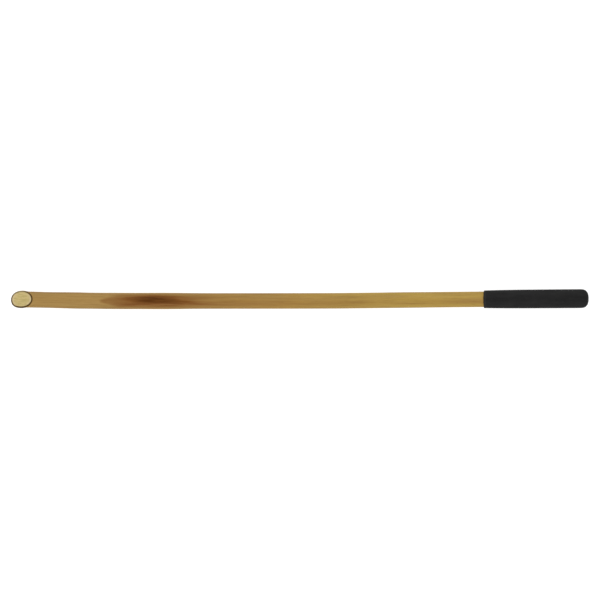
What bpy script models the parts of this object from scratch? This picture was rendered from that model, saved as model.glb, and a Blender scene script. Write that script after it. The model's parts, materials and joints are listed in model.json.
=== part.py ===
"""Slim wooden hand wand with a slanted, sealed tip and a soft grip whose end is closed.

    blender --background --python part.py

Metres, +Z up. The wand lies along X on the plane z = 0, its tip at -X and its grip at +X, with the
slanted face looking up and away from the grip. It rests on its grip and on the swelling a quarter of
the way along the shaft. The origin is on that plane, under the middle of the wand's box.

Every piece is swept from rings along one shared centreline, so the sleeve and the tape follow the
shaft's natural bow with an even gap between them.
"""

import math

import bmesh
import bpy
from mathutils import Vector

# Driving dimensions
LENGTH = 0.550  # toe of the slanted tip to the end of the grip
GRIP_LENGTH = 0.0995
SIDES = 36  # round pieces; a flat of each ring faces down, up and to either side

# Shaft: a turned stick that thins towards the grip
TIP_RADIUS = 0.00742
BUTT_RADIUS = 0.00730
RESTING_SWELLING = 0.145  # from the toe
SWELLINGS = (  # (distance from the toe, gain in radius, spread)
    (0.000, 0.00028, 0.025),
    (0.060, 0.00030, 0.015),
    (0.100, 0.00028, 0.026),
    (RESTING_SWELLING, 0.00034, 0.024),
    (0.375, 0.00006, 0.020),
)
BOW = (  # (share of LENGTH from the toe, offset sideways towards -Y)
    (0.00, -0.00045),
    (0.08, 0.00062),
    (0.17, 0.00142),
    (0.32, 0.00165),
    (0.56, 0.00172),
    (0.68, 0.00112),
    (0.82, 0.00052),
    (1.00, 0.0),
)
HEIGHT = (  # (share of LENGTH from the toe, height of the centreline)
    (0.00, 0.00846),
    (0.15, 0.00788),
    (0.26, 0.00775),  # rests on the swelling here
    (0.36, 0.00777),
    (0.52, 0.00770),
    (0.68, 0.00795),
    (0.80, 0.00849),
    (0.90, 0.00886),  # rests on the grip from here
    (1.00, 0.00893),
)
SHAFT_RING_PITCH = 0.012
RING_TO_CUT = 0.002  # from either end of the slanted cuts to the nearest ring
BUTT_CHAMFER = 0.0008

# Slanted tip
CUT_ANGLE = math.radians(36.2)  # between the cut face and the shaft's length
CUT_ROLL = math.radians(4.2)  # how far the face turns from +Z towards +Y
FLARE = 0.00062  # the face's rim stands this far outside the shaft, and less towards its heel
FLARE_BESIDE_TOE = 0.45  # and this share more on either side of its toe
FLARE_LENGTH = 0.004  # along the shaft
RIM_BEVEL = 0.0003

# Grip: a dip-moulded sleeve, thin at its mouth and fuller towards its domed end
MOUTH_RADIUS = 0.00820
GRIP_RADIUS = 0.00892
GRIP_FILLS_OVER = 0.021  # distance in which the sleeve gains most of its thickness
DOME_DEPTH = 0.0081
DOME_POWER = 2.7  # superellipse exponent: 2 is an ellipse, and more is squarer
MOUTH_LEAN = math.radians(8.0)  # the mouth isn't cut quite square: its upper side reaches further
LEAN_FADES_OVER = 0.012
END_WALL = 0.0040
NECK_LENGTH = 0.004  # the bore is narrow here, so that the mouth closes round the shaft
NECK_TAPER = 0.001

# Tape: one strip wrapped once round the shaft, with a seam one flat wide along the underside
TAPE_THICKNESS = 0.0002
TAPE_END_MARGIN = 0.006  # from the mouth, and from the shaft's butt

FIT_GAP = 0.0002  # between neighbouring surfaces

# Rings along each curve
LIP_STEPS = 6
OUTSIDE_STEPS = 11
OUTSIDE_CROWDING = 1.4  # above 1, the outside's rings stand closer together near the mouth
DOME_STEPS = 9
BORE_STEPS = 5
TAPE_STEPS = 4
BOW_SAMPLES = 500

# Places along X
TOE_X = -LENGTH / 2
END_X = LENGTH / 2
MOUTH_X = END_X - GRIP_LENGTH
BUTT_X = END_X - END_WALL - FIT_GAP

WOOD = ("wood", (0.39, 0.24, 0.075, 1.0), 0.45)
RUBBER = ("rubber", (0.018, 0.018, 0.018, 1.0), 0.75)
TAPE = ("tape", (0.80, 0.76, 0.62, 1.0), 0.60)


def clear_scene():
    for obj in list(bpy.data.objects):
        bpy.data.objects.remove(obj)


def make_material(name, colour, roughness):
    material = bpy.data.materials.new(name)
    material.use_nodes = True
    shader = material.node_tree.nodes["Principled BSDF"]
    shader.inputs["Base Color"].default_value = colour
    shader.inputs["Roughness"].default_value = roughness
    shader.inputs["Metallic"].default_value = 0.0
    return material


def smooth_through(points, at):
    """Value at `at` of a cubic through (place, value) points, each slope taken from its neighbours."""
    last = len(points) - 1
    left = max(i for i in range(last) if points[i][0] <= at or i == 0)

    def slope(i):
        (x0, y0), (x1, y1) = points[max(i - 1, 0)], points[min(i + 1, last)]
        return (y1 - y0) / (x1 - x0)

    (x0, y0), (x1, y1) = points[left], points[left + 1]
    width = x1 - x0
    t = min(max((at - x0) / width, 0.0), 1.0)
    bend = slope(left) * t * (1 - t) ** 2 - slope(left + 1) * t**2 * (1 - t)
    return y0 + (y1 - y0) * t**2 * (3 - 2 * t) + width * bend


def shaft_radius(x):
    toe_distance = x - TOE_X
    radius = TIP_RADIUS + (BUTT_RADIUS - TIP_RADIUS) * toe_distance / LENGTH
    for place, gain, spread in SWELLINGS:
        radius += gain * math.exp(-(((toe_distance - place) / spread) ** 2))
    return radius


def bow_offset(x):
    return -smooth_through(BOW, (x - TOE_X) / LENGTH)


def centre(x):
    """Centreline at x."""
    height = smooth_through(HEIGHT, (x - TOE_X) / LENGTH)
    return Vector((x, CHORD_Y + bow_offset(x), height))


def chord_y():
    """Y of the line between the wand's two ends that centres the bowed wand on y = 0."""
    places = [TOE_X + LENGTH * i / BOW_SAMPLES for i in range(BOW_SAMPLES + 1)]
    lowest = min(bow_offset(x) - shaft_radius(x) for x in places)
    return -(lowest + GRIP_RADIUS) / 2


CHORD_Y = chord_y()


def ring(mesh, x, radius, lean=0.0):
    """Ring of vertices round the centreline, its flats `radius` away. lean shifts its top to -X."""
    middle = centre(x)
    corner = radius / math.cos(math.pi / SIDES)
    points = []
    for i in range(SIDES):
        angle = (i + 0.5) * math.tau / SIDES
        side = Vector((0.0, math.cos(angle), math.sin(angle))) * corner
        points.append(mesh.verts.new(middle + side + Vector((-lean * side.z, 0.0, 0.0))))
    return points


def join_rings(mesh, first, second, left_open=None):
    """Faces from one ring to the next, without the flat numbered left_open."""
    for i in range(SIDES):
        if i != left_open:
            j = (i + 1) % SIDES
            mesh.faces.new((first[i], first[j], second[j], second[i]))


def close_with_pole(mesh, loop, x):
    pole = mesh.verts.new(centre(x))
    for i in range(SIDES):
        mesh.faces.new((pole, loop[i], loop[(i + 1) % SIDES]))


def swept_mesh(stations, start_x, end_x):
    """Closed surface through rings at (x, radius, lean) stations, with a pole at each end."""
    mesh = bmesh.new()
    rings = [ring(mesh, *station) for station in stations]
    for first, second in zip(rings, rings[1:]):
        join_rings(mesh, first, second)
    close_with_pole(mesh, rings[0], start_x)
    close_with_pole(mesh, rings[-1], end_x)
    bmesh.ops.recalc_face_normals(mesh, faces=mesh.faces)
    return mesh


def add_object(name, mesh, material, smooth_angle=math.radians(30)):
    data = bpy.data.meshes.new(name)
    mesh.to_mesh(data)
    mesh.free()
    data.materials.append(material)
    data.shade_smooth()
    data.set_sharp_from_angle(angle=smooth_angle)
    obj = bpy.data.objects.new(name, data)
    bpy.context.scene.collection.objects.link(obj)
    return obj


def face_normal():
    """Outward normal of the slanted face: up, away from the grip, and rolled a little to +Y."""
    rise = math.cos(CUT_ANGLE)
    return Vector((-math.sin(CUT_ANGLE), rise * math.sin(CUT_ROLL), rise * math.cos(CUT_ROLL)))


def face_centre():
    """Where the slanted face crosses the centreline, placed so that the bevelled toe is at TOE_X."""
    reach = (shaft_radius(TOE_X) + FLARE) / math.tan(CUT_ANGLE)
    return centre(TOE_X + reach - RIM_BEVEL * math.cos(CUT_ANGLE))


def slanted_cut(mesh, place, clear=False):
    """Edges of a cut through place, parallel to the slanted face; clear takes off what is outside."""
    cut = bmesh.ops.bisect_plane(
        mesh,
        geom=mesh.verts[:] + mesh.edges[:] + mesh.faces[:],
        plane_co=place,
        plane_no=face_normal(),
        clear_outer=clear,
    )
    return [item for item in cut["geom_cut"] if isinstance(item, bmesh.types.BMEdge)]


def flare(side, rise):
    """How far the rim stands outside the shaft in the direction (side, rise) from the centreline."""
    beside_toe = (2 * side * rise) ** 2 if rise < 0 else 0.0
    return FLARE * (1 - max(rise, 0.0)) * (1 + FLARE_BESIDE_TOE * beside_toe)


def cut_slanted_tip(mesh):
    middle = face_centre()
    slanted_cut(mesh, middle + Vector((FLARE_LENGTH, 0.0, 0.0)))
    rim = slanted_cut(mesh, middle, clear=True)
    for vert in {vert for edge in rim for vert in edge.verts}:
        out = vert.co - middle
        vert.co += out * flare(out.y / TIP_RADIUS, out.z / TIP_RADIUS) / TIP_RADIUS
    bmesh.ops.contextual_create(mesh, geom=rim)
    bmesh.ops.bevel(
        mesh, geom=rim, offset=RIM_BEVEL, segments=2, profile=0.5, affect="EDGES"
    )


def evenly(start, end):
    """Places from start up to, and not including, end."""
    gaps = round((end - start) / SHAFT_RING_PITCH)
    return [start + (end - start) * i / gaps for i in range(gaps)]


def make_shaft(material):
    """Solid stick from the slanted tip to its chamfered butt inside the grip."""
    before_toe = TOE_X - RING_TO_CUT
    heel_reach = shaft_radius(TOE_X) / math.tan(CUT_ANGLE) + FLARE_LENGTH
    past_face = face_centre().x + heel_reach + RING_TO_CUT
    resting_x = TOE_X + RESTING_SWELLING
    chamfer_x = BUTT_X - BUTT_CHAMFER
    places = [before_toe] + evenly(past_face, resting_x) + evenly(resting_x, chamfer_x) + [chamfer_x]
    stations = [(x, shaft_radius(max(x, TOE_X)), 0.0) for x in places]
    stations.append((BUTT_X, shaft_radius(BUTT_X) - BUTT_CHAMFER, 0.0))
    mesh = swept_mesh(stations, before_toe, BUTT_X)
    cut_slanted_tip(mesh)
    return add_object("shaft", mesh, material)


def grip_outer_radius(x):
    """Sleeve's outer radius between its lip and its dome."""
    gain = 1 - math.exp(-(x - MOUTH_X) / GRIP_FILLS_OVER)
    full = 1 - math.exp(-(END_X - DOME_DEPTH - MOUTH_X) / GRIP_FILLS_OVER)
    return MOUTH_RADIUS + (GRIP_RADIUS - MOUTH_RADIUS) * gain / full


def lip_stations(neck_radius):
    """Half-round lip of the mouth, from the bore round to the outside."""
    thickness = (MOUTH_RADIUS - neck_radius) / 2
    middle = neck_radius + thickness
    stations = []
    for i in range(LIP_STEPS + 1):
        angle = math.pi * i / LIP_STEPS
        x = MOUTH_X + thickness * (1 - math.sin(angle))
        stations.append((x, middle - thickness * math.cos(angle), math.tan(MOUTH_LEAN)))
    return stations


def lean_at(x):
    return math.tan(MOUTH_LEAN) * math.exp(-(x - MOUTH_X) / LEAN_FADES_OVER)


def dome_stations():
    """Superellipse from the sleeve's full radius to the last ring before the pole."""
    stations = []
    for i in range(1, DOME_STEPS):
        angle = math.pi / 2 * i / DOME_STEPS
        along = math.sin(angle) ** (2 / DOME_POWER)
        across = math.cos(angle) ** (2 / DOME_POWER)
        stations.append((END_X - DOME_DEPTH * (1 - along), GRIP_RADIUS * across, 0.0))
    return stations


def make_grip(material):
    """Sleeve: bore from its blind end to the neck, the lip, the outside and the domed end."""
    bore_end = BUTT_X + FIT_GAP
    bore_gap = 2 * FIT_GAP + TAPE_THICKNESS
    neck_end = MOUTH_X + NECK_LENGTH
    taper_end = neck_end + NECK_TAPER

    bore = [(bore_end, shaft_radius(bore_end) + bore_gap, 0.0)]
    for i in reversed(range(BORE_STEPS)):
        x = taper_end + (bore_end - taper_end) * i / BORE_STEPS
        bore.append((x, shaft_radius(x) + bore_gap, lean_at(x)))
    bore.append((neck_end, shaft_radius(neck_end) + FIT_GAP, lean_at(neck_end)))

    outside = []
    for i in range(1, OUTSIDE_STEPS + 1):
        share = (i / OUTSIDE_STEPS) ** OUTSIDE_CROWDING
        x = MOUTH_X + (END_X - DOME_DEPTH - MOUTH_X) * share
        outside.append((x, grip_outer_radius(x), lean_at(x)))

    lip = lip_stations(shaft_radius(MOUTH_X) + FIT_GAP)
    stations = bore + lip + outside + dome_stations()
    return add_object("grip", swept_mesh(stations, bore_end, END_X), material)


def make_tape(material):
    """One strip bent round the shaft: an open sheet thickened outwards, its long edges apart below."""
    start_x = MOUTH_X + NECK_LENGTH + TAPE_END_MARGIN
    end_x = BUTT_X - TAPE_END_MARGIN
    mesh = bmesh.new()
    rings = []
    for i in range(TAPE_STEPS + 1):
        x = start_x + (end_x - start_x) * i / TAPE_STEPS
        rings.append(ring(mesh, x, shaft_radius(x) + FIT_GAP))
    facing_down = 3 * SIDES // 4 - 1
    for first, second in zip(rings, rings[1:]):
        join_rings(mesh, first, second, left_open=facing_down)
    bmesh.ops.recalc_face_normals(mesh, faces=mesh.faces)
    obj = add_object("grip_tape", mesh, material)
    thicken = obj.modifiers.new("thickness", "SOLIDIFY")
    thicken.thickness = TAPE_THICKNESS
    thicken.offset = 1.0
    return obj


def main():
    clear_scene()
    make_shaft(make_material(*WOOD))
    make_grip(make_material(*RUBBER))
    make_tape(make_material(*TAPE))


main()
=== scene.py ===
"""Looks for the wooden gymnastics wand: varnished cane shaft, slanted cut face and black rubber grip.

Metres, in the CAD model's frame: the wand lies along X, its slanted tip at -X, its grip at +X, +Z up.
The shaft and the grip are swept again from the CAD shaft's own rings, far more finely. Each vertex
carries its place in the stick ("grain") and the strength of each mark on it, and the material nodes
turn these into colour, gloss and relief.
"""

import json
import math

import bmesh
import bpy
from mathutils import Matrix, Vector, noise


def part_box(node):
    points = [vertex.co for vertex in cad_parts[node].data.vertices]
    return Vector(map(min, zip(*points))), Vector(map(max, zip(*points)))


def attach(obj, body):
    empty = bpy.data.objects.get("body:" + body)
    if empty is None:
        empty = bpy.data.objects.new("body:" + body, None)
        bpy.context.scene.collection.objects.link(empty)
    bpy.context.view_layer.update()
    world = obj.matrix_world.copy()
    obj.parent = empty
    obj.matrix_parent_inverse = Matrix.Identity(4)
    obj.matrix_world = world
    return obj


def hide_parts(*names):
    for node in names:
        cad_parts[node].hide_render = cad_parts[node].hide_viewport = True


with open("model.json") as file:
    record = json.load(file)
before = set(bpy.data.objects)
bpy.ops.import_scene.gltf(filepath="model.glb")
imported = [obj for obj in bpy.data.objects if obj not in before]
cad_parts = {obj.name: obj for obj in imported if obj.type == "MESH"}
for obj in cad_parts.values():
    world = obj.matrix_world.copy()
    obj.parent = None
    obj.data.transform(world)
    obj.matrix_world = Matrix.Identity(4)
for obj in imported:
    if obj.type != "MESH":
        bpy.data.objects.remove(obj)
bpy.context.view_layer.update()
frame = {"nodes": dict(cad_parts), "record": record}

MM = 0.001
AROUND = 160  # vertices in each ring

# Slanted face: the CAD's own plane, a little further out
TIP_MOUNT = frame["record"]["mounts"][0]
FACE_NORMAL = Vector(TIP_MOUNT["axis"])
FACE_COAT = 0.09 * MM  # its sealer stands this far in front of the CAD's face
FACE_CENTRE = Vector(TIP_MOUNT["pos_m"]) + FACE_COAT * FACE_NORMAL
FLARE = 0.62 * MM  # the rim stands this far outside the shaft, but not at its heel
FLARE_AT_CORNERS = 0.53  # and this share more on either side of the toe
CORNERS_UNEVEN = 0.60  # the front corner has more of that, and the back corner less
FLARE_AT_TOE = 0.36  # and this share more at the toe
FLARE_SPREAD = 2.8 * MM  # along the shaft
TIP_SWELLING = 0.12 * MM  # the shaft behind the rim thins by this much before its first square ring
SLANT_FADES_OVER = 38 * MM  # the rings lean less and less, and stand square from here
RIM_ROUNDING = 0.28 * MM
FACE_STEPS = 26
FACE_CROWDING = 0.8  # below 1, the rings crowd towards the edge of the face
ROUNDING_STEPS = 6

# Dark line that is painted round the edge of the face, and the paler wood scraped just inside it
RIM_WIDTH = 1.1 * MM
RIM_NARROWER_AT_HEEL = 0.10
RIM_NARROWER_AT_BACK = 0.14
RIM_SOFTNESS = 0.22 * MM
RIM_PAINTED_LIGHT_AT_BACK = 0.36  # painted light: the rim is paler towards the back, as if lit there, and less so towards the heel
HALO_WIDTH = 1.0 * MM  # beside the toe and the heel

# Shaft
WHOLE_RING = 36  # the CAD mesh has more vertices than this at the x of a square ring, and fewer elsewhere
VARNISH = 0.06 * MM  # its coat stands outside the CAD's bare wood
RIDGE_HEIGHT = 0.020 * MM
RIDGE_WIDTH = 1.1 * MM
RIDGE_LENGTH = 55 * MM
BUTT_CHAMFER = 0.8 * MM
FINE_STRETCH = 10 * MM  # behind the face
FINE_GAPS = (0.2 * MM, 0.6 * MM)  # between its first rings, and between its last
COARSE_GAPS = (0.8 * MM, 1.6 * MM)

# Grip
SKIN = 0.08 * MM  # outside the CAD's grip
WALL_AT_MOUTH = 1.04 * MM
LIP_HIGHLIGHT = 1.4 * MM  # from the mouth: a painted highlight, a greyer line round the lip
LIP_HIGHLIGHT_WIDTH = 0.7 * MM
GRIP_FILLS_OVER = 21 * MM  # distance in which the sleeve gains most of its thickness
NECK_GAP = 0.06 * MM
NECK_LENGTH = 4 * MM
NECK_TAPER = 1 * MM  # from the neck out to the bore
BORE_GAP = 0.6 * MM  # clear of the tape
BORE_GAPS = (4 * MM, 8 * MM)  # between its rings
OUTSIDE_GAPS = (0.5 * MM, 1.6 * MM)
DOME_DEPTH = 8.1 * MM
DOME_POWER = 2.7  # superellipse exponent: 2 is an ellipse, and more is squarer
MOUTH_LEAN = math.radians(8)
LEAN_FADES_OVER = 12 * MM
LIP_STEPS = 12
DOME_STEPS = 26
UNEVENNESS = 0.02 * MM
UNEVENNESS_LENGTH = 9 * MM
UNEVENNESS_ROUND = 1.5  # cells of it in one radius

# Flame mark, in distance from the toe and angle from straight up towards +Y
FLAME_FRONT = 86.3 * MM  # the middle of its fade, at the nose
NOSE_ANGLE = math.radians(-1)
NOSE_TIP = math.radians(7)  # the nose is blunt this far to either side
NOSE_SHOULDER = math.radians(38)  # and ends this far to either side
NOSE_LENGTH = 12 * MM
FRONT_SOFTNESS = 3.5 * MM
FRONT_SOFTER_ASIDE = 15 * MM  # per radian to either side of the nose
BODY_ANGLE = math.radians(-2)
BODY_WIDTH = math.radians(54)
BODY_AT_FRONT = 0.32
BODY_STRENGTH = 0.48
BODY_DEEPENS_OVER = 30 * MM
BODY_END = 147 * MM
BODY_FALL = 48 * MM
CORE = 138 * MM
CORE_ANGLE = math.radians(13)
CORE_WIDTH = math.radians(28)
CORE_RISE = 20 * MM
CORE_FALL = 22 * MM
CORE_STRENGTH = 0.54
TAIL_START = 165 * MM
TAIL_FADES_OVER = 35 * MM
TAIL_ANGLE = math.radians(-18)  # the core drifts round to this angle
TAIL_SETTLES = 181 * MM
TAIL_WIDTH = math.radians(25)
TAIL_STRENGTH = 0.42
TAIL_LINGERS = 0.15  # a faint stripe that goes on to the grip

# Wood tones along the wand, in distance from the toe
MIDDLE_TONE_STARTS = 150 * MM
MIDDLE_TONE_FULL = 220 * MM
GRIP_TONE_STARTS = 250 * MM
GRIP_TONE_FULL = 350 * MM

TAPE_THREADS = 700.0  # scale of its weave

# Studio
CAMERA_DISTANCE = 3.0
CAMERA_MIDDLE = Vector((0.5 * MM, -0.67 * MM, 8.5 * MM))
CAMERA_ROLL = math.radians(-0.1)
VIEW_WIDTH = 570.8 * MM  # what the frame spans at the wand
SENSOR = 36.0  # millimetres
FLOOR_SIZE = 8.0
FLOOR_BELOW = 0.15 * MM  # below z = 0, clear of the grip's skin
FLOOR_GLOW = 0.85
SOFTBOX_ASIDE = 1.22
SOFTBOX_HEIGHT = 1.25
SOFTBOX_SIZE = (2.4, 1.6)
BACK_POWER = 16.0  # watts
FRONT_POWER = 17.2
GROUND_ENDS = 0.47  # height in the world: 0 is straight down, 0.5 the horizon, 1 straight up
HORIZON = 0.50


# ---------------------------------------------------------------- curves


def smooth_step(low, high, at):
    t = min(max((at - low) / (high - low), 0.0), 1.0)
    return t * t * (3 - 2 * t)


def bell(distance, width):
    return math.exp(-((distance / width) ** 2))


def graded(start, end, first_gap, last_gap):
    """Places from start to end whose gaps grow evenly from first_gap to last_gap."""
    count = max(2, round(2 * (end - start) / (first_gap + last_gap)))
    gaps = [first_gap + (last_gap - first_gap) * i / (count - 1) for i in range(count)]
    scale = (end - start) / sum(gaps)
    return [start + scale * sum(gaps[:i]) for i in range(count + 1)]


X, CENTRE, RADIUS = range(3)  # columns of a station


def cad_stations():
    """(x, centre, radius) of each square ring in the CAD shaft, in order, with the face's centre first."""
    rings = {}
    for vert in frame["nodes"]["shaft"].data.vertices:
        rings.setdefault(round(vert.co.x, 5), []).append(vert.co)  # to a hundredth of a millimetre
    stations = []
    for x in sorted(rings):
        if len(rings[x]) > WHOLE_RING:
            ys = [point.y for point in rings[x]]
            zs = [point.z for point in rings[x]]
            centre = Vector((x, (max(ys) + min(ys)) / 2, (max(zs) + min(zs)) / 2))
            radius = (max(zs) - min(zs)) / 2
            stations.append((x, centre, radius + VARNISH))
    first_radius = stations[0][RADIUS]
    tip = (FACE_CENTRE.x, FACE_CENTRE, first_radius + TIP_SWELLING)
    butt_before_chamfer = stations[:-1]
    return [tip] + butt_before_chamfer


STATIONS = cad_stations()
SHAFT_START, SHAFT_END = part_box("shaft")
GRIP_START, GRIP_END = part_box("grip")
TOE_X = SHAFT_START.x
BUTT_X = SHAFT_END.x
END_X = GRIP_END.x
GRIP_RADIUS = (GRIP_END.z - GRIP_START.z) / 2 + SKIN


def along_stations(x, column):
    """A column of STATIONS at x: a cubic through its values, carried on straight past either end."""
    last = len(STATIONS) - 1

    def slope(i):
        before, after = STATIONS[max(i - 1, 0)], STATIONS[min(i + 1, last)]
        return (after[column] - before[column]) / (after[X] - before[X])

    if x <= STATIONS[0][X]:
        return STATIONS[0][column] + slope(0) * (x - STATIONS[0][X])
    if x >= STATIONS[last][X]:
        return STATIONS[last][column] + slope(last) * (x - STATIONS[last][X])
    left = max(i for i in range(last) if STATIONS[i][X] <= x)
    start, end = STATIONS[left], STATIONS[left + 1]
    width = end[X] - start[X]
    t = (x - start[X]) / width
    bend = slope(left) * (t * (1 - t) ** 2) - slope(left + 1) * (t**2 * (1 - t))
    return start[column] + (end[column] - start[column]) * (t**2 * (3 - 2 * t)) + bend * width


def centre(x):
    return along_stations(x, CENTRE)


def shaft_radius(x):
    return along_stations(x, RADIUS)


MOUTH_X = GRIP_START.x + math.tan(MOUTH_LEAN) * (shaft_radius(GRIP_START.x) + WALL_AT_MOUTH)


# ---------------------------------------------------------------- meshes


def direction(turn):
    """Unit vector across the wand, `turn` of a circle round from straight up towards +Y."""
    return Vector((0.0, math.sin(turn * math.tau), math.cos(turn * math.tau)))


TURNS = [direction(i / AROUND) for i in range(AROUND)]


def mesh_from_rows(name, rows, first_pole, last_pole):
    """Closed mesh through rows of (point, marks) vertices. Marks are the values of its attributes."""
    mesh = bmesh.new()
    layers = {}
    for key, value in rows[0][0][1].items():
        kind = mesh.verts.layers.float_vector if isinstance(value, Vector) else mesh.verts.layers.float
        layers[key] = kind.new(key)

    def add(point, marks):
        vert = mesh.verts.new(point)
        for key, value in marks.items():
            vert[layers[key]] = value
        return vert

    rings = [[add(*vertex) for vertex in row] for row in rows]
    for first, second in zip(rings, rings[1:]):
        for i in range(AROUND):
            j = (i + 1) % AROUND
            mesh.faces.new((first[i], first[j], second[j], second[i]))
    for ring, pole_vertex in ((rings[0], first_pole), (rings[-1], last_pole)):
        pole = add(*pole_vertex)
        for i in range(AROUND):
            mesh.faces.new((pole, ring[i], ring[(i + 1) % AROUND]))
    bmesh.ops.recalc_face_normals(mesh, faces=mesh.faces)
    data = bpy.data.meshes.new(name)
    mesh.to_mesh(data)
    mesh.free()
    data.shade_smooth()
    piece = bpy.data.objects.new(name, data)
    bpy.context.scene.collection.objects.link(piece)
    return piece


def flame_strength(distance, angle):
    """The flame mark: a broad brown body with a dark core and a trailing stripe. 0 is plain wood."""
    aside = abs(angle - NOSE_ANGLE)
    front = FLAME_FRONT + NOSE_LENGTH * smooth_step(NOSE_TIP, NOSE_SHOULDER, aside)
    fade = FRONT_SOFTNESS + FRONT_SOFTER_ASIDE * aside
    body = BODY_AT_FRONT
    body += (BODY_STRENGTH - BODY_AT_FRONT) * smooth_step(0, BODY_DEEPENS_OVER, distance - FLAME_FRONT)
    body *= smooth_step(-fade / 2, fade / 2, distance - front)
    body *= bell(max(distance - BODY_END, 0), BODY_FALL)
    body *= math.exp(-(((angle - BODY_ANGLE) / BODY_WIDTH) ** 4))

    spine = CORE_ANGLE + (TAIL_ANGLE - CORE_ANGLE) * smooth_step(CORE, TAIL_SETTLES, distance)
    core = CORE_STRENGTH * bell(angle - spine, CORE_WIDTH)
    core *= bell(distance - CORE, CORE_RISE if distance < CORE else CORE_FALL)

    tail = TAIL_STRENGTH * math.exp(-max(distance - TAIL_START, 0) / TAIL_FADES_OVER) + TAIL_LINGERS
    tail *= bell(angle - spine, TAIL_WIDTH) * smooth_step(CORE, TAIL_START, distance)
    return max(body + core, tail)


def flare_at(across):
    """The rim's flare in one direction from the centreline."""
    side, rise = across.y, across.z
    corners = (2 * side * rise) ** 2 * (1 - CORNERS_UNEVEN * side) if rise < 0 else 0.0
    toe = max(-rise, 0.0) ** 2
    return FLARE * (1 - max(rise, 0.0)) * (1 + FLARE_AT_CORNERS * corners + FLARE_AT_TOE * toe)


def rim_strength(across):
    """Darkness of the painted rim in one direction from the centreline, lifted towards the back by painted
    light. 1 is full.
    """
    side, rise = across.y, across.z
    return 1 - RIM_PAINTED_LIGHT_AT_BACK * max(side, 0) ** 2 * (1 - max(rise, 0)) ** 2


def face_marks(across, share):
    """Strengths of the dark rim and of the paler halo inside it, at a share of the face's radius."""
    side, rise = across.y, across.z
    face_radius = math.hypot(side, rise / FACE_NORMAL.x) * shaft_radius(FACE_CENTRE.x)
    from_edge = face_radius * (1 - share)
    width = RIM_WIDTH * (1 - RIM_NARROWER_AT_HEEL * max(rise, 0) - RIM_NARROWER_AT_BACK * side)
    rim = 1 - smooth_step(width - RIM_SOFTNESS, width + RIM_SOFTNESS, from_edge)
    halo = rise**2 * bell(from_edge - width - HALO_WIDTH, HALO_WIDTH)
    return rim * rim_strength(across), halo


def ridge(x, across):
    """Fibre relief of the stick, from -1 to 1."""
    place = Vector(((x - TOE_X) / RIDGE_LENGTH, 0.0, 0.0)) + across * (shaft_radius(x) / RIDGE_WIDTH)
    return noise.noise(place)


def on_slanted_plane(x, spoke, slant):
    """X of the point at `spoke` from the centreline, in the plane through centre(x) leaned by slant."""
    middle = centre(x)
    lean = slant / -FACE_NORMAL.x
    place = x
    for _ in range(3):  # the centreline is nearly straight, so three rounds settle it
        rise = centre(place) + spoke - middle
        place = x + lean * (rise.y * FACE_NORMAL.y + rise.z * FACE_NORMAL.z)
    return place


def shaft_vertex(x, across, slant, share, out, face=0.0, rim=0.0, halo=0.0):
    """Vertex of the shaft: `share` of the radius from the centreline, and `out` further."""
    spoke = across * (shaft_radius(x) * share + out)
    place = on_slanted_plane(x, spoke, slant)
    radius = (shaft_radius(place) + RIDGE_HEIGHT * ridge(place, across)) * share + out
    point = centre(place) + across * radius
    point.x = place
    angle = math.atan2(across.y, across.z)
    marks = {
        "grain": Vector((place - TOE_X, across.y * radius, across.z * radius)),
        "scorch": flame_strength(place - TOE_X, angle),
        "face": face,
        "rim": rim,
        "halo": halo,
    }
    return point, marks


def face_rows():
    """From the middle of the slanted face to where its edge starts to round."""
    rows = []
    for step in range(1, FACE_STEPS):
        share = (step / FACE_STEPS) ** FACE_CROWDING
        row = []
        for t in TURNS:
            out = (flare_at(t) - RIM_ROUNDING) * share
            rim, halo = face_marks(t, share)
            row.append(shaft_vertex(FACE_CENTRE.x, t, 1, share, out, face=1, rim=rim, halo=halo))
        rows.append(row)
    return rows


def rounding_rows():
    """Over the rounded edge of the face."""
    rows = []
    for step in range(ROUNDING_STEPS + 1):
        turned = math.pi / 2 * step / ROUNDING_STEPS
        x = FACE_CENTRE.x + RIM_ROUNDING * (1 - math.cos(turned))
        inset = RIM_ROUNDING * (1 - math.sin(turned))
        face = 1 - step / ROUNDING_STEPS
        rows.append([shaft_vertex(x, t, 1, 1, flare_at(t) - inset, face, rim_strength(t)) for t in TURNS])
    return rows


def side_rows():
    """From behind the rim, over its flare and along the stick, to the chamfered butt in the grip."""
    side_start = FACE_CENTRE.x + RIM_ROUNDING
    places = graded(side_start, side_start + FINE_STRETCH, *FINE_GAPS)[1:]
    places += graded(places[-1], BUTT_X - BUTT_CHAMFER, *COARSE_GAPS)[1:]
    rows = []
    for x in places:
        behind = x - FACE_CENTRE.x
        slant = 1 - smooth_step(0, SLANT_FADES_OVER, behind)
        fade = bell(behind, FLARE_SPREAD)
        rim = 1 - smooth_step(RIM_ROUNDING, 2 * RIM_ROUNDING, behind)
        rows.append([shaft_vertex(x, t, slant, 1, flare_at(t) * fade, rim=rim) for t in TURNS])
    rows.append([shaft_vertex(BUTT_X, t, 0, 1, -BUTT_CHAMFER) for t in TURNS])
    return rows


def make_shaft(material):
    """The stick in one skin, from the middle of its slanted face to the middle of its butt."""
    rows = face_rows() + rounding_rows() + side_rows()
    face_pole = shaft_vertex(FACE_CENTRE.x, TURNS[0], 1, 0, 0, face=1)
    butt_pole = shaft_vertex(BUTT_X, TURNS[0], 0, 0, 0)
    piece = mesh_from_rows("varnished_shaft", rows, face_pole, butt_pole)
    piece.data.materials.append(material)
    return piece


def grip_outer_radius(x):
    """The sleeve's outside from its mouth to its dome: it fills out over the first stretch."""
    at_mouth = shaft_radius(MOUTH_X) + WALL_AT_MOUTH
    full = 1 - math.exp(-(END_X - DOME_DEPTH - MOUTH_X) / GRIP_FILLS_OVER)
    gain = 1 - math.exp(-max(x - MOUTH_X, 0.0) / GRIP_FILLS_OVER)
    return at_mouth + (GRIP_RADIUS - at_mouth) * gain / full


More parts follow.
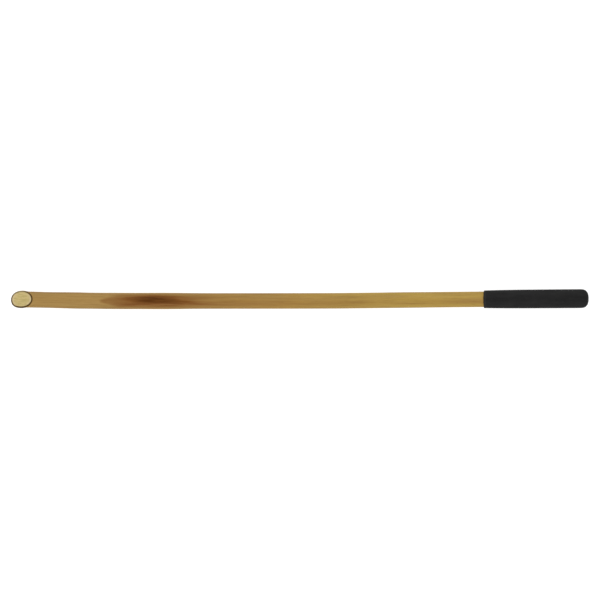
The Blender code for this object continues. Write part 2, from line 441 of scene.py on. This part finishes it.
def grip_profile():
    """(x, radius, uneven) of each ring, from the bore's blind end out round the lip to the dome."""
    bore_end = BUTT_X + NECK_GAP
    neck_end = MOUTH_X + NECK_LENGTH
    profile = []
    for x in reversed(graded(neck_end + NECK_TAPER, bore_end, *BORE_GAPS)):
        profile.append((x, shaft_radius(x) + BORE_GAP, 0))
    profile.append((neck_end, shaft_radius(neck_end) + NECK_GAP, 0))

    neck_radius = shaft_radius(MOUTH_X) + NECK_GAP
    half_wall = (shaft_radius(MOUTH_X) + WALL_AT_MOUTH - neck_radius) / 2
    for step in range(LIP_STEPS + 1):
        turned = math.pi * step / LIP_STEPS
        x = MOUTH_X + half_wall * (1 - math.sin(turned))
        profile.append((x, neck_radius + half_wall * (1 - math.cos(turned)), 0))

    for x in graded(MOUTH_X + half_wall, END_X - DOME_DEPTH, *OUTSIDE_GAPS)[1:]:
        profile.append((x, grip_outer_radius(x), 1))
    for step in range(1, DOME_STEPS):
        turned = math.pi / 2 * step / DOME_STEPS
        x = END_X - DOME_DEPTH * (1 - math.sin(turned) ** (2 / DOME_POWER))
        profile.append((x, GRIP_RADIUS * math.cos(turned) ** (2 / DOME_POWER), 0))
    return profile


def grip_vertex(x, radius, uneven, across):
    """Vertex of the grip. Its rings lean at the mouth and stand square further along."""
    place = Vector((x, 0.0, 0.0)) / UNEVENNESS_LENGTH + across * UNEVENNESS_ROUND
    spoke = across * (radius + uneven * UNEVENNESS * noise.noise(place))
    lean = math.tan(MOUTH_LEAN) * math.exp(-max(x - MOUTH_X, 0.0) / LEAN_FADES_OVER)
    point = centre(x) + spoke
    point.x = x - lean * spoke.z
    marks = {
        "grain": Vector((x - MOUTH_X, spoke.y, spoke.z)),
        # painted highlight: a greyer line round the lip
        "lip_highlight": bell(x - MOUTH_X - LIP_HIGHLIGHT, LIP_HIGHLIGHT_WIDTH),
    }
    return point, marks


def make_grip(material):
    """The sleeve in one skin, from the end of its bore, out round its lip, to its dome."""
    rows = [[grip_vertex(*station, t) for t in TURNS] for station in grip_profile()]
    bore_pole = grip_vertex(BUTT_X + NECK_GAP, 0, 0, TURNS[0])
    dome_pole = grip_vertex(END_X, 0, 0, TURNS[0])
    piece = mesh_from_rows("moulded_grip", rows, bore_pole, dome_pole)
    piece.data.materials.append(material)
    return piece


# ---------------------------------------------------------------- materials


class Graph:
    """A material's or the world's node tree, with a short method for each kind of node used here."""

    def __init__(self, owner):
        owner.use_nodes = True
        self.owner = owner
        self.tree = owner.node_tree

    def node(self, kind, inputs, **settings):
        node = self.tree.nodes.new(kind)
        for key, value in settings.items():
            setattr(node, key, value)
        self.feed(node, inputs)
        return node

    def feed(self, node, inputs):
        for key, value in inputs.items():
            if isinstance(value, bpy.types.NodeSocket):
                self.tree.links.new(value, node.inputs[key])
            else:
                node.inputs[key].default_value = value

    def finish(self, inputs):
        """Sets the inputs of the material's shader, and returns the material."""
        self.feed(self.tree.nodes["Principled BSDF"], inputs)
        return self.owner

    def mark(self, name):
        """One of the mesh's attributes, as a number."""
        return self.node("ShaderNodeAttribute", {}, attribute_name=name).outputs["Fac"]

    def cells(self, length, width, depth=None):
        """The wand's own coordinates, counted in cells of that length, width and depth (or width)."""
        grain = self.node("ShaderNodeAttribute", {}, attribute_name="grain").outputs["Vector"]
        scale = (1 / length, 1 / width, 1 / (depth or width))
        return self.node("ShaderNodeMapping", {"Vector": grain, "Scale": scale}).outputs["Vector"]

    def distance_from_toe(self):
        metres = self.cells(1.0, 1.0)
        return self.node("ShaderNodeSeparateXYZ", {"Vector": metres}).outputs["X"]

    def noise(self, vector, detail=3.0, roughness=0.55):
        inputs = {"Vector": vector, "Scale": 1.0, "Detail": detail, "Roughness": roughness}
        return self.node("ShaderNodeTexNoise", inputs).outputs["Fac"]

    def threads(self, vector, axis):
        inputs = {"Vector": vector, "Scale": TAPE_THREADS}
        return self.node("ShaderNodeTexWave", inputs, bands_direction=axis).outputs["Fac"]

    def between(self, value, low, high, to_low=0.0, to_high=1.0):
        """value's range low..high stretched to to_low..to_high, and held at those ends."""
        names = ("Value", "From Min", "From Max", "To Min", "To Max")
        inputs = dict(zip(names, (value, low, high, to_low, to_high)))
        return self.node("ShaderNodeMapRange", inputs).outputs["Result"]

    def mix(self, amount, first, second):
        """Number from first to second as amount goes from 0 to 1."""
        inputs = {0: amount, 2: first, 3: second}  # 2 and 3 are the node's sockets for numbers
        return self.node("ShaderNodeMix", inputs).outputs[0]

    def blend(self, amount, first, second):
        """Colour from first to second as amount goes from 0 to 1."""
        inputs = {0: amount, 6: first, 7: second}  # 6 and 7 are the node's sockets for colours
        return self.node("ShaderNodeMix", inputs, data_type="RGBA").outputs[2]

    def layer(self, base, over, value, start, full, amount=1.0):
        """base under a layer of `over`, none of it where value is start, and `amount` of it at full."""
        return self.blend(self.between(value, start, full, 0.0, amount), base, over)

    def product(self, first, second):
        return self.node("ShaderNodeMath", {0: first, 1: second}, operation="MULTIPLY").outputs["Value"]

    def bump(self, height, depth, strength=1.0, after=None):
        inputs = {"Height": height, "Distance": depth, "Strength": strength}
        if after is not None:
            inputs["Normal"] = after
        return self.node("ShaderNodeBump", inputs).outputs["Normal"]


def new_material(name):
    return Graph(bpy.data.materials.new(name))


def colour(red, green, blue):
    return (red, green, blue, 1.0)


def grey(value):
    return colour(value, value, value)


def wood_side_colour(graph):
    """Golden cane: tones along the wand, broad patches, lengthwise streaks, fine fibres and pores."""
    near_tip = colour(0.430, 0.262, 0.084)
    middle = colour(0.438, 0.259, 0.069)
    near_grip = colour(0.502, 0.335, 0.079)
    shaded = colour(0.355, 0.212, 0.068)
    dark_streak = colour(0.270, 0.158, 0.044)
    pale_streak = colour(0.455, 0.305, 0.100)
    dark_fibre = colour(0.250, 0.140, 0.040)
    pore = colour(0.200, 0.105, 0.026)

    distance = graph.distance_from_toe()
    base = graph.layer(near_tip, middle, distance, MIDDLE_TONE_STARTS, MIDDLE_TONE_FULL)
    base = graph.layer(base, near_grip, distance, GRIP_TONE_STARTS, GRIP_TONE_FULL)
    patches = graph.noise(graph.cells(70 * MM, 7 * MM), detail=2.0)
    base = graph.layer(base, shaded, patches, start=0.40, full=0.65, amount=0.50)
    streaks = graph.noise(graph.cells(38 * MM, 1.5 * MM), detail=4.0, roughness=0.6)
    base = graph.layer(base, dark_streak, streaks, start=0.50, full=0.72, amount=0.55)
    base = graph.layer(base, pale_streak, streaks, start=0.48, full=0.30, amount=0.50)
    fibres = graph.noise(graph.cells(12 * MM, 0.35 * MM), detail=2.0)
    base = graph.layer(base, dark_fibre, fibres, start=0.55, full=0.75, amount=0.35)
    pores = graph.noise(graph.cells(2.6 * MM, 0.16 * MM), detail=1.0)
    return graph.layer(base, pore, pores, start=0.66, full=0.74, amount=0.50)


def flamed_colour(graph, plain):
    """The brown flame mark, drawn out into streaks, over the plain wood."""
    toasted = colour(0.226, 0.087, 0.018)
    darkest = colour(0.090, 0.026, 0.002)

    streaks = graph.noise(graph.cells(30 * MM, 1.3 * MM), detail=4.0, roughness=0.65)
    unevenness = graph.between(streaks, 0.25, 0.75, to_low=0.62, to_high=1.36)
    strength = graph.product(graph.mark("scorch"), unevenness)
    base = graph.layer(plain, toasted, strength, start=0.0, full=0.55)
    return graph.layer(base, darkest, strength, start=0.50, full=1.05)


def face_colour(graph):
    """Bare end of the cane: pale, with the fibres cut into strokes down the slope."""
    pale = colour(0.710, 0.565, 0.255)
    stroke = colour(0.570, 0.455, 0.180)
    pore = colour(0.340, 0.250, 0.095)
    scraped = colour(0.720, 0.570, 0.330)

    strokes = graph.noise(graph.cells(9 * MM, 0.9 * MM, depth=5 * MM), detail=3.0)
    base = graph.layer(pale, stroke, strokes, start=0.38, full=0.62)
    pores = graph.noise(graph.cells(1.4 * MM, 0.25 * MM, depth=1 * MM), detail=1.0)
    base = graph.layer(base, pore, pores, start=0.60, full=0.78, amount=0.45)
    return graph.blend(graph.mark("halo"), base, scraped)


def wood_material():
    """Varnished side, bare face and dark rim, told apart by the mesh's marks."""
    painted_rim = colour(0.084, 0.042, 0.011)
    bare_roughness = 0.78

    graph = new_material("cane_wood")
    side = flamed_colour(graph, wood_side_colour(graph))
    whole = graph.blend(graph.mark("face"), side, face_colour(graph))
    wear = graph.noise(graph.cells(2 * MM, 1.2 * MM))
    rim = graph.product(graph.mark("rim"), graph.between(wear, 0.30, 0.70, to_low=0.88, to_high=1.1))

    gloss_patches = graph.noise(graph.cells(25 * MM, 3 * MM))
    varnish = graph.between(gloss_patches, 0.3, 0.7, to_low=0.38, to_high=0.50)
    ridges = graph.noise(graph.cells(30 * MM, 0.9 * MM), detail=3.0)
    fibres = graph.noise(graph.cells(8 * MM, 0.28 * MM), detail=2.0)
    inputs = {
        "Base Color": graph.blend(rim, whole, painted_rim),
        "Roughness": graph.mix(graph.mark("face"), varnish, bare_roughness),
        "Specular IOR Level": 0.06,
        "Normal": graph.bump(fibres, 0.05 * MM, after=graph.bump(ridges, 0.07 * MM)),
    }
    return graph.finish(inputs)


def rubber_material():
    """Matte black rubber: faint clouds, dust, a painted highlight as a greyer line at the lip, and a fine
    leathery grain.
    """
    black = colour(0.0058, 0.0058, 0.0062)
    cloud = colour(0.0086, 0.0084, 0.0084)
    speck = colour(0.030, 0.029, 0.027)
    # painted highlight: the grey of the line round the lip
    painted_lip_highlight = colour(0.0190, 0.0185, 0.0185)

    graph = new_material("black_rubber")
    clouds = graph.noise(graph.cells(14 * MM, 5 * MM))
    base = graph.layer(black, cloud, clouds, start=0.35, full=0.65)
    dust = graph.noise(graph.cells(0.45 * MM, 0.35 * MM), detail=2.0)
    base = graph.layer(base, speck, dust, start=0.56, full=0.72, amount=0.55)
    rubbed = graph.noise(graph.cells(18 * MM, 4 * MM), detail=4.0)
    grain = graph.noise(graph.cells(0.45 * MM, 0.45 * MM), detail=3.0)
    swirl = graph.noise(graph.cells(3.0 * MM, 1.2 * MM), detail=2.0)
    inputs = {
        "Base Color": graph.blend(graph.mark("lip_highlight"), base, painted_lip_highlight),
        "Roughness": graph.between(rubbed, 0.3, 0.7, to_low=0.58, to_high=0.76),
        "Specular IOR Level": 0.22,
        "Normal": graph.bump(grain, 0.12 * MM, after=graph.bump(swirl, 0.10 * MM, strength=0.6)),
    }
    return graph.finish(inputs)


def tape_material():
    """Cream cloth tape: a fine plain weave."""
    between_threads = colour(0.66, 0.61, 0.47)
    thread = colour(0.84, 0.80, 0.66)

    graph = new_material("cloth_tape")
    place = graph.node("ShaderNodeTexCoord", {}).outputs["Object"]
    weave = graph.product(graph.threads(place, "X"), graph.threads(place, "Y"))
    inputs = {
        "Base Color": graph.blend(weave, between_threads, thread),
        "Roughness": 0.8,
        "Normal": graph.bump(weave, 0.05 * MM),
    }
    return graph.finish(inputs)


# ---------------------------------------------------------------- studio


def floor_material():
    """Pale table lit from below, as a light table is, so that it stays white round the wand."""
    graph = new_material("light_table")
    place = graph.node("ShaderNodeTexCoord", {}).outputs["Object"]
    mottle = graph.node("ShaderNodeTexNoise", {"Vector": place, "Scale": 3.0}).outputs["Fac"]
    inputs = {
        "Base Color": graph.blend(mottle, colour(0.40, 0.40, 0.40), colour(0.43, 0.43, 0.42)),
        "Roughness": 0.9,
        "Emission Color": grey(1.0),
        "Emission Strength": FLOOR_GLOW,
    }
    return graph.finish(inputs)


def make_floor():
    """The table. It neither lights the wand nor shades it, so that the wand's edges don't glow."""
    mesh = bmesh.new()
    bmesh.ops.create_grid(mesh, x_segments=1, y_segments=1, size=FLOOR_SIZE / 2)
    data = bpy.data.meshes.new("floor")
    mesh.to_mesh(data)
    mesh.free()
    data.materials.append(floor_material())
    floor = bpy.data.objects.new("floor", data)
    floor.location.z = -FLOOR_BELOW
    floor.visible_diffuse = False
    floor.visible_glossy = False
    floor.visible_shadow = False
    bpy.context.scene.collection.objects.link(floor)


def make_world():
    """Bright low walls under a dark ceiling. The ground is in between, and lights the wand from below."""
    tones = (
        (GROUND_ENDS, grey(0.62)),
        (HORIZON, colour(0.92, 0.92, 0.91)),
        (1.0, grey(0.15)),
    )
    graph = Graph(bpy.data.worlds.new("studio"))
    heading = graph.node("ShaderNodeTexCoord", {}).outputs["Generated"]
    rise = graph.node("ShaderNodeSeparateXYZ", {0: heading}).outputs["Z"]
    ramp = graph.node("ShaderNodeValToRGB", {"Fac": graph.between(rise, -1.0, 1.0)})
    stops = ramp.color_ramp.elements
    stops.new(HORIZON)
    for stop, (position, tone) in zip(stops, tones):
        stop.position = position
        stop.color = tone
    graph.feed(graph.tree.nodes["Background"], {"Color": ramp.outputs["Color"]})
    bpy.context.scene.world = graph.owner


def make_softbox(name, aside, power):
    """Large soft light above one side of the wand, facing it."""
    light = bpy.data.lights.new(name, "AREA")
    light.shape = "RECTANGLE"
    light.size, light.size_y = SOFTBOX_SIZE
    light.energy = power
    lamp = bpy.data.objects.new(name, light)
    lamp.location = (0.0, aside, SOFTBOX_HEIGHT)
    lamp.rotation_euler = (-lamp.location).to_track_quat("-Z", "Y").to_euler()
    bpy.context.scene.collection.objects.link(lamp)


def make_camera():
    """Looks straight down on the middle of the wand, from far enough to show hardly any perspective."""
    camera = bpy.data.cameras.new("camera")
    camera.sensor_width = SENSOR
    camera.lens = SENSOR * CAMERA_DISTANCE / VIEW_WIDTH
    rig = bpy.data.objects.new("camera", camera)
    rig.location = CAMERA_MIDDLE + Vector((0.0, 0.0, CAMERA_DISTANCE))
    rig.rotation_euler.z = CAMERA_ROLL
    bpy.context.scene.collection.objects.link(rig)
    bpy.context.scene.camera = rig


def make_studio():
    bpy.context.scene.view_settings.view_transform = "Standard"
    make_world()
    make_floor()
    make_softbox("softbox_back", SOFTBOX_ASIDE, BACK_POWER)
    make_softbox("softbox_front", -SOFTBOX_ASIDE, FRONT_POWER)
    make_camera()


def main():
    shaft = make_shaft(wood_material())
    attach(shaft, "root")
    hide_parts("shaft")

    grip = make_grip(rubber_material())
    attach(grip, "root")
    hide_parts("grip")

    tape = frame["nodes"]["grip_tape"]
    tape.data.materials.clear()
    tape.data.materials.append(tape_material())

    make_studio()


main()
